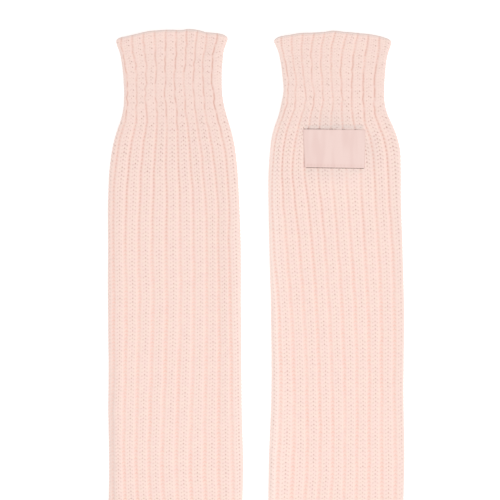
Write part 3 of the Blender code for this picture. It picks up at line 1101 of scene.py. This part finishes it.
    def inner_points(self, rib: Array, course: Array) -> tuple[Array, Looks]:
        """The plain inside of the tube, as outer_points gives the outside."""
        down = self.down_at(course)[:, None] + np.zeros_like(rib)
        lie = self.lay(rib, down)
        wall = INNER_WALL * rounded_edge(self.from_edge(down))
        points = self.place(down, lie.x - lie.out_x * wall, lie.z - lie.out_z * wall)
        none = np.zeros_like(down)
        return points, {
            **dict.fromkeys(("loose", "dark_channel_shade", "grey_shade", "painted_light"), none),
            "drawn_in": CUFF_SHADE * self.drawn_in(self.cut_at(down)),
            "sunk": none + INSIDE_TONE,
        }

    def build(self, material: bpy.types.Material) -> bpy.types.Object:
        """Builds the tube: a grid rolled into a ring, its two seams welded.

        Args:
            material: the yarn's material.

        Returns:
            The finished piece.
        """
        rib = self.columns()
        outside, inside = self.rows()
        course = np.concatenate([outside, inside])
        outer, outer_looks = self.outer_points(rib, outside)
        inner, inner_looks = self.inner_points(rib, inside)
        points = np.concatenate([outer, inner])
        mesh, column, row = welded_ring(self.name, len(rib) - 1, len(course) - 1)
        place = points[row, column]
        mesh.vertices.foreach_set("co", place.ravel())
        for name, looks in outer_looks.items():
            values = np.concatenate([looks, inner_looks[name]])
            layer = mesh.attributes.new(name, "FLOAT", "POINT")
            layer.data.foreach_set("value", values[row, column])
        uv = np.empty(len(mesh.loops) * 2)
        layer = mesh.uv_layers[UV_NAME]
        layer.uv.foreach_get("vector", uv)
        corner = np.rint(uv.reshape(-1, 2) * (len(rib) - 1, len(course) - 1)).astype(int)
        uv = np.stack([rib[corner[:, 0]], course[corner[:, 1]]], axis=1)
        layer.uv.foreach_set("vector", uv.ravel())
        face_outwards(mesh)
        piece = new_object(self.name, mesh, material)
        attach(piece, BODY)
        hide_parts(self.node)
        return piece


def welded_ring(name: str, columns: int, rows: int) -> tuple[bpy.types.Mesh, Array, Array]:
    """A grid whose opposite edges are welded, so that it has the faces of a torus.

    Args:
        name: the mesh's name.
        columns: faces one way.
        rows: faces the other way.

    Returns:
        The mesh, and for each vertex its column and its row. Its UV map runs from 0 to 1.
    """
    grid = bmesh.new()
    grid.loops.layers.uv.new(UV_NAME)
    bmesh.ops.create_grid(grid, x_segments=columns, y_segments=rows, size=0.5, calc_uvs=True)
    by_place = {
        (round((v.co.x + 0.5) * columns), round((v.co.y + 0.5) * rows)): v for v in grid.verts
    }
    seams = {
        vertex: by_place[column % columns, row % rows]
        for (column, row), vertex in by_place.items()
        if column == columns or row == rows
    }
    bmesh.ops.weld_verts(grid, targetmap=seams)
    mesh = new_mesh(name, grid)
    flat = np.empty(len(mesh.vertices) * 3)
    mesh.vertices.foreach_get("co", flat)
    places = flat.reshape(-1, 3) + 0.5
    column = np.rint(places[:, 0] * columns).astype(int)
    row = np.rint(places[:, 1] * rows).astype(int)
    return mesh, column, row


def face_outwards(mesh: bpy.types.Mesh) -> None:
    """Turns a closed mesh's faces outwards and shades them smooth."""
    work = bmesh.new()
    work.from_mesh(mesh)
    bmesh.ops.recalc_face_normals(work, faces=work.faces)
    if work.calc_volume(signed=True) < 0.0:
        bmesh.ops.reverse_faces(work, faces=work.faces)
    work.to_mesh(mesh)
    work.free()
    mesh.shade_smooth()


@dataclass(frozen=True)
class SatinWeave:
    """Woven polyester satin, pressed flat.

    Smoother than the knit, with a soft lengthwise gloss and threads too fine to tell apart.
    """

    name: str = "woven_polyester_satin"
    cloth: str = "#ECD0C9"
    # painted shade of faint lengthwise creases, laid on by noise
    shade: str = "#E7C9C2"
    # painted shade at the folded left end, and the small stitches' own darker tone
    seam: str = "#D3A79C"
    roughness: float = 0.5
    sheen: float = 0.15
    thread: float = 0.5  # mm, coarser than real threads of 0.1 mm, which would not show
    thread_height: float = 0.1  # mm
    thread_strength: float = 0.15
    fold: float = 5.5  # mm, from one faint lengthwise crease of painted shade to the next
    drawn_out: float = 0.15  # how slowly threads and creases change along themselves
    shade_range: Pair = (0.35, 0.7)  # where the creases' noise starts and ends

    def material(self) -> bpy.types.Material:
        """Builds the weave's material."""
        material, tree = new_material(self.name)
        spot = add_node(tree, "TexCoord").outputs["Object"]
        seam = add_node(tree, "Attribute", {"attribute_name": "seam"}).outputs["Fac"]
        thread = 1.0 / (self.thread * MM)
        fold = 1.0 / (self.fold * MM)
        noise = {}
        for name, scale, detail in (
            ("threads", (self.drawn_out * thread, thread, 1.0), 2.0),
            ("folds", (fold, self.drawn_out * fold, 1.0), 1.0),
        ):
            scaled = add_node(tree, "Mapping", None, {"Vector": spot, "Scale": scale})
            noise[name] = add_node(
                tree,
                "TexNoise",
                None,
                {"Vector": scaled.outputs["Vector"], "Scale": 1.0, "Detail": detail},
            ).outputs[0]
        low, high = self.shade_range
        shaded = add_node(
            tree,
            "MapRange",
            {"interpolation_type": "SMOOTHSTEP"},
            {"Value": noise["folds"], "From Min": low, "From Max": high},
        ).outputs["Result"]
        colour = srgb(self.cloth)
        for share, tint in ((shaded, self.shade), (seam, self.seam)):
            colour = add_node(
                tree, "Mix", {"data_type": "RGBA"}, {0: share, 6: colour, 7: srgb(tint)}
            ).outputs[2]
        bump = {
            "Strength": self.thread_strength,
            "Distance": self.thread_height * MM,
            "Height": noise["threads"],
        }
        close_material(
            tree,
            {
                "Base Color": colour,
                "Roughness": self.roughness,
                "IOR": IOR,
                "Sheen Weight": self.sheen,
                "Normal": add_node(tree, "Bump", None, bump).outputs["Normal"],
            },
        )
        return material


@dataclass
class Label:
    """The bare woven label, over the ribs of the leg warmer that it is sewn to."""

    host: LegWarmer
    name: str = "label_cloth"
    node: str = "label"
    top_left: Pair = (-26.4, 80.5)
    top_right: Pair = (24.8, 81.0)
    bottom_left: Pair = (-25.1, 111.7)
    bottom_right: Pair = (24.1, 112.5)
    thickness: float = 0.4
    clearance: float = 0.1
    sag: float = 0.15  # how far it sinks over the channels
    sag_width: float = 0.25  # ribs from a channel's middle to where it hardly sinks
    end_drop: float = 0.15  # how far its two ends go down to the knit
    end_width: float = 0.03  # over what share of its width they do
    fold_width: float = 0.026  # share of its width that gets painted shade at the folded left end
    fold_dark: Pair = (0.4, 0.2)  # how strong that painted shade is at its foot and its top
    marks_up: float = 0.06  # share of its height at which the lower edge's marks lie
    marks_width: float = 0.035
    marks: int = 18  # small stitches that show through there
    mark_dark: Pair = (0.12, 0.37)  # how dark it is between them and on them
    marks_fade: float = 0.6  # how much fainter they are at the right end
    steps_across: int = 72
    steps_down: int = 44

    def surface(self, across: Array, up: Array) -> Array:
        """Points of the label's underside, in metres.

        Args:
            across: share of the way from its left end to its right end.
            up: share of the way from its bottom edge to its top edge.

        Returns:
            An array of points.
        """
        left = blend(np.array(self.bottom_left), np.array(self.top_left), up[:, None])
        right = blend(np.array(self.bottom_right), np.array(self.top_right), up[:, None])
        x, down = blend(left, right, across[:, None]).T
        ends = hump(across, self.end_width) + hump(1.0 - across, self.end_width)
        return self.over_ribs(x, down, self.clearance - self.end_drop * ends)

    def seam(self, across: Array, up: Array) -> Array:
        """How much painted shade the folded left end gets, and how dark the small stitches near
        the lower edge are.
        """
        end = hump(across, self.fold_width) * blend(*self.fold_dark, smooth(up))
        stitches = 0.5 + 0.5 * np.cos(2.0 * math.pi * self.marks * across)
        lower = hump(up - self.marks_up, self.marks_width) * blend(*self.mark_dark, stitches)
        return np.maximum(end, lower * (1.0 - self.marks_fade * across))

    def over_ribs(self, x: Array, down: Array, lift: Array) -> Array:
        """Points that far over the pressed ribs, a little lower over the channels.

        Args:
            x: places across the host.
            down: places along it.
            lift: heights over its pressed ribs.

        Returns:
            An array of points, in metres.
        """
        cut = self.host.cut_at(down)
        ribs = np.arange(RIBS_ON_TOP + 1)[:, None] / RIBS_ON_TOP
        channels = self.host.across(cut, ribs)
        pitch = (cut.last_channel - cut.first_channel) / RIBS_ON_TOP
        nearest = np.min(np.abs(x - channels), axis=0)
        sag = self.sag * hump(nearest / pitch, self.sag_width)
        z = self.host.front_height(cut, x) + CREST_WALL - LABEL_SUNK - sag
        return self.host.place(down, x, z + lift)

    def build(self, material: bpy.types.Material) -> bpy.types.Object:
        """Builds the label: a grid laid over the ribs, and its thickness."""
        grid = bmesh.new()
        bmesh.ops.create_grid(
            grid, x_segments=self.steps_across, y_segments=self.steps_down, size=0.5
        )
        shares = np.array([vertex.co for vertex in grid.verts]) + 0.5
        for vertex, point in zip(grid.verts, self.surface(shares[:, 0], shares[:, 1])):
            vertex.co = point
        bmesh.ops.recalc_face_normals(grid, faces=grid.faces)
        if sum(face.normal.z for face in grid.faces) < 0.0:
            bmesh.ops.reverse_faces(grid, faces=grid.faces)
        mesh = new_mesh(self.name, grid)
        mesh.attributes.new("seam", "FLOAT", "POINT").data.foreach_set(
            "value", self.seam(shares[:, 0], shares[:, 1])
        )
        mesh.shade_smooth()
        mesh.set_sharp_from_angle(angle=math.radians(SHARP_ANGLE))
        piece = new_object(self.name, mesh, material)
        wall = piece.modifiers.new("cloth", "SOLIDIFY")
        wall.thickness = self.thickness * MM
        wall.offset = 1.0
        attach(piece, BODY)
        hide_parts(self.node)
        return piece


@dataclass(frozen=True)
class StitchAndShadeThread:
    """Grey-pink thread, matt and a little darker than the cloth it holds, partly real stitching
    and partly a dark strand standing in for the shade lines under the label's edges.
    """

    name: str = "polyester_thread_and_edge_shade"
    # darker than the cloth, so that the rows also stand in for the shade lines under the label's
    # edges
    colour: str = "#A0867E"
    roughness: float = 0.8

    def material(self) -> bpy.types.Material:
        """Builds the thread's material."""
        material, tree = new_material(self.name)
        close_material(tree, {"Base Color": srgb(self.colour), "Roughness": self.roughness})
        return material


@dataclass(frozen=True)
class StitchRow:
    """A row of stitches along one edge of the label, also standing in for the shade line there,
    in mm.
    """

    left: Pair
    right: Pair
    off: float  # from the label's edge to the thread, over the knit
    radius: float
    irregular: float  # how much deeper than the others a stitch may lie
    sinks: float  # how much deeper the row lies at its right end
    start: float  # share of the edge before its first stitch


@dataclass
class LabelStitchesAndShade:
    """The small stitches that hold the label's upper and lower edges down, whose dark rows also
    stand in for the shade lines under those edges.
    """

    label: Label
    name: str = "label_stitches_and_edge_shade"
    pitch: float = 2.5
    overlap: float = 0.7
    off_edge: float = 0.25
    lift: float = 0.08  # over the label, of a stitch that isn't pulled in
    crooked: float = 0.05  # radians that a stitch may lie askew
    sides: int = 10
    rings: int = 6
    seed: int = 5

    def rows(self) -> tuple[StitchRow, StitchRow]:
        """The row along the upper edge and the one along the lower edge."""
        label = self.label
        return (
            StitchRow(label.top_left, label.top_right, -self.off_edge, 0.23, 0.12, 0.28, 0.0),
            StitchRow(
                label.bottom_left, label.bottom_right, self.off_edge, 0.38, 0.1, 0.18, 0.03
            ),
        )

    def places(self, row: StitchRow, rng: np.random.Generator) -> Iterator[Matrix]:
        """Where each stitch of a row lies, from left to right.

        Args:
            row: the row.
            rng: what makes the stitches uneven.

        Yields:
            For each stitch the place, turn and size that make it of a ball of radius 1.
        """
        edge = self.label.bottom_left[1] - self.label.bottom_right[1]
        tilt = math.atan2(edge, row.right[0] - row.left[0])
        half = Vector(((self.pitch + self.overlap) / 2, row.radius, row.radius))
        count = round((row.right[0] - row.left[0]) / self.pitch)
        for i in range(count):
            share = blend(row.start, 1.0, (i + 0.5) / count)
            x = blend(row.left[0], row.right[0], share)
            down = blend(row.left[1], row.right[1], share) + row.off
            lift = self.lift - row.irregular * rng.random() - row.sinks * share
            point = self.label.over_ribs(np.array([x]), np.array([down]), lift)[0]
            turn = Euler((0.0, 0.0, tilt + rng.normal(0.0, self.crooked)))
            yield Matrix.LocRotScale(Vector(point), turn, half * MM)

    def build(self, material: bpy.types.Material) -> bpy.types.Object:
        """Builds every stitch as a small spindle, all of them in one mesh."""
        rng = np.random.default_rng(self.seed)
        stitches = bmesh.new()
        for row in self.rows():
            for place in self.places(row, rng):
                bmesh.ops.create_uvsphere(
                    stitches,
                    u_segments=self.sides,
                    v_segments=self.rings,
                    radius=1.0,
                    matrix=place,
                )
        mesh = new_mesh(self.name, stitches)
        mesh.shade_smooth()
        piece = new_object(self.name, mesh, material)
        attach(piece, BODY)
        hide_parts(self.label.node)
        return piece


@dataclass
class Studio:
    """A white table, soft light from everywhere and a large lamp up to the right."""

    floor_size: float = 4.0  # metres
    floor_z: float = -0.0003  # metres, just below the knit
    paper: str = "#F4F4F4"
    paper_roughness: float = 0.9
    paper_glow: float = 0.3  # lifts it to the blank white of the photo
    view_centre: Pair = (-4.1, 119.6)
    view_width: float = 410.0
    cloth_z: float = 5.0  # height at which the view is that wide
    lens: float = 120.0
    sensor: float = 36.0
    sky: float = 0.85
    lamp_power: float = 6.42
    lamp_size: float = 1.1  # metres
    lamp_place: tuple[float, float, float] = (0.4, -0.45, 1.3)

    def floor(self) -> bpy.types.Object:
        """The white table that the pair lies on."""
        grid = bmesh.new()
        bmesh.ops.create_grid(grid, x_segments=1, y_segments=1, size=self.floor_size / 2)
        bmesh.ops.translate(grid, verts=grid.verts, vec=(0.0, 0.0, self.floor_z))
        mesh = new_mesh("floor", grid)
        material, tree = new_material("matt_white_paper")
        close_material(
            tree,
            {
                "Base Color": srgb(self.paper),
                "Roughness": self.paper_roughness,
                "Emission Color": WHITE,
                "Emission Strength": self.paper_glow,
            },
        )
        floor = new_object("floor", mesh, material)
        return floor

    def light(self) -> None:
        """The even white surroundings and the lamp."""
        world = bpy.data.worlds.new("soft_white_room")
        bpy.context.scene.world = world
        world.use_nodes = True
        world.node_tree.nodes.clear()
        tree = world.node_tree
        sky = add_node(tree, "Background", None, {"Color": WHITE, "Strength": self.sky})
        add_node(tree, "OutputWorld", None, {"Surface": sky.outputs[0]})
        lamp = bpy.data.lights.new("softbox", "AREA")
        lamp.energy = self.lamp_power
        lamp.size = self.lamp_size
        place = Vector(self.lamp_place)
        box = bpy.data.objects.new("softbox", lamp)
        box.location = place
        target = Vector((0.0, self.view_centre[1] * MM, 0.0))
        box.rotation_euler = (target - place).to_track_quat("-Z", "Y").to_euler()
        bpy.context.scene.collection.objects.link(box)

    def camera(self) -> None:
        """The camera straight above, with the photo's frame."""
        data = bpy.data.cameras.new("camera")
        data.lens = self.lens
        data.sensor_width = self.sensor
        camera = bpy.data.objects.new("camera", data)
        distance = self.view_width * self.lens / self.sensor + self.cloth_z
        camera.location = Vector((*self.view_centre, distance)) * MM
        bpy.context.scene.collection.objects.link(camera)
        bpy.context.scene.camera = camera
        bpy.context.scene.view_settings.view_transform = "Standard"


def main() -> None:
    """Builds the pair, its label and the studio, and reports each piece."""
    logging.basicConfig(level=logging.INFO, format="%(message)s")
    stitch = Stitch()
    knit = KnitYarn().material(stitch)
    left = LegWarmer(
        name="knit_left",
        node="leg_warmer_left",
        axis_x=-66.4,
        top_y=300.0,
        sections=LEFT_SECTIONS,
        lip=LEFT_LIP,
        course_places=LEFT_COURSES,
        seed=11,
        stitch=stitch,
        marks=(1.6, 1.1, 1.15, 1.2, 1.5, 1.5, 1.2, 1.2, 1.2, 2.0),
        left_fold_tone=1.0,
        creased=True,
        right_fold_tone=-0.25,
    )
    right = LegWarmer(
        name="knit_right",
        node="leg_warmer_right",
        axis_x=65.6,
        top_y=299.1,
        sections=RIGHT_SECTIONS,
        lip=RIGHT_LIP,
        course_places=RIGHT_COURSES,
        seed=47,
        stitch=stitch,
        marks=(1.4, 0.85, 0.9, 1.2, 0.9, 0.9, 1.25, 1.6, 1.7, 1.75),
        left_fold_tone=-0.4,
        right_fold_tone=0.2,
        carries_label=True,
    )
    for leg in (left, right):
        piece = leg.build(knit)
        log.info("%s: %d faces", piece.name, len(piece.data.polygons))
    label = Label(right)
    for piece in (
        label.build(SatinWeave().material()),
        LabelStitchesAndShade(label).build(StitchAndShadeThread().material()),
    ):
        log.info("%s: %d faces", piece.name, len(piece.data.polygons))
    studio = Studio()
    log.info("%s", studio.floor().name)
    studio.light()
    studio.camera()


if __name__ == "__main__":
    main()
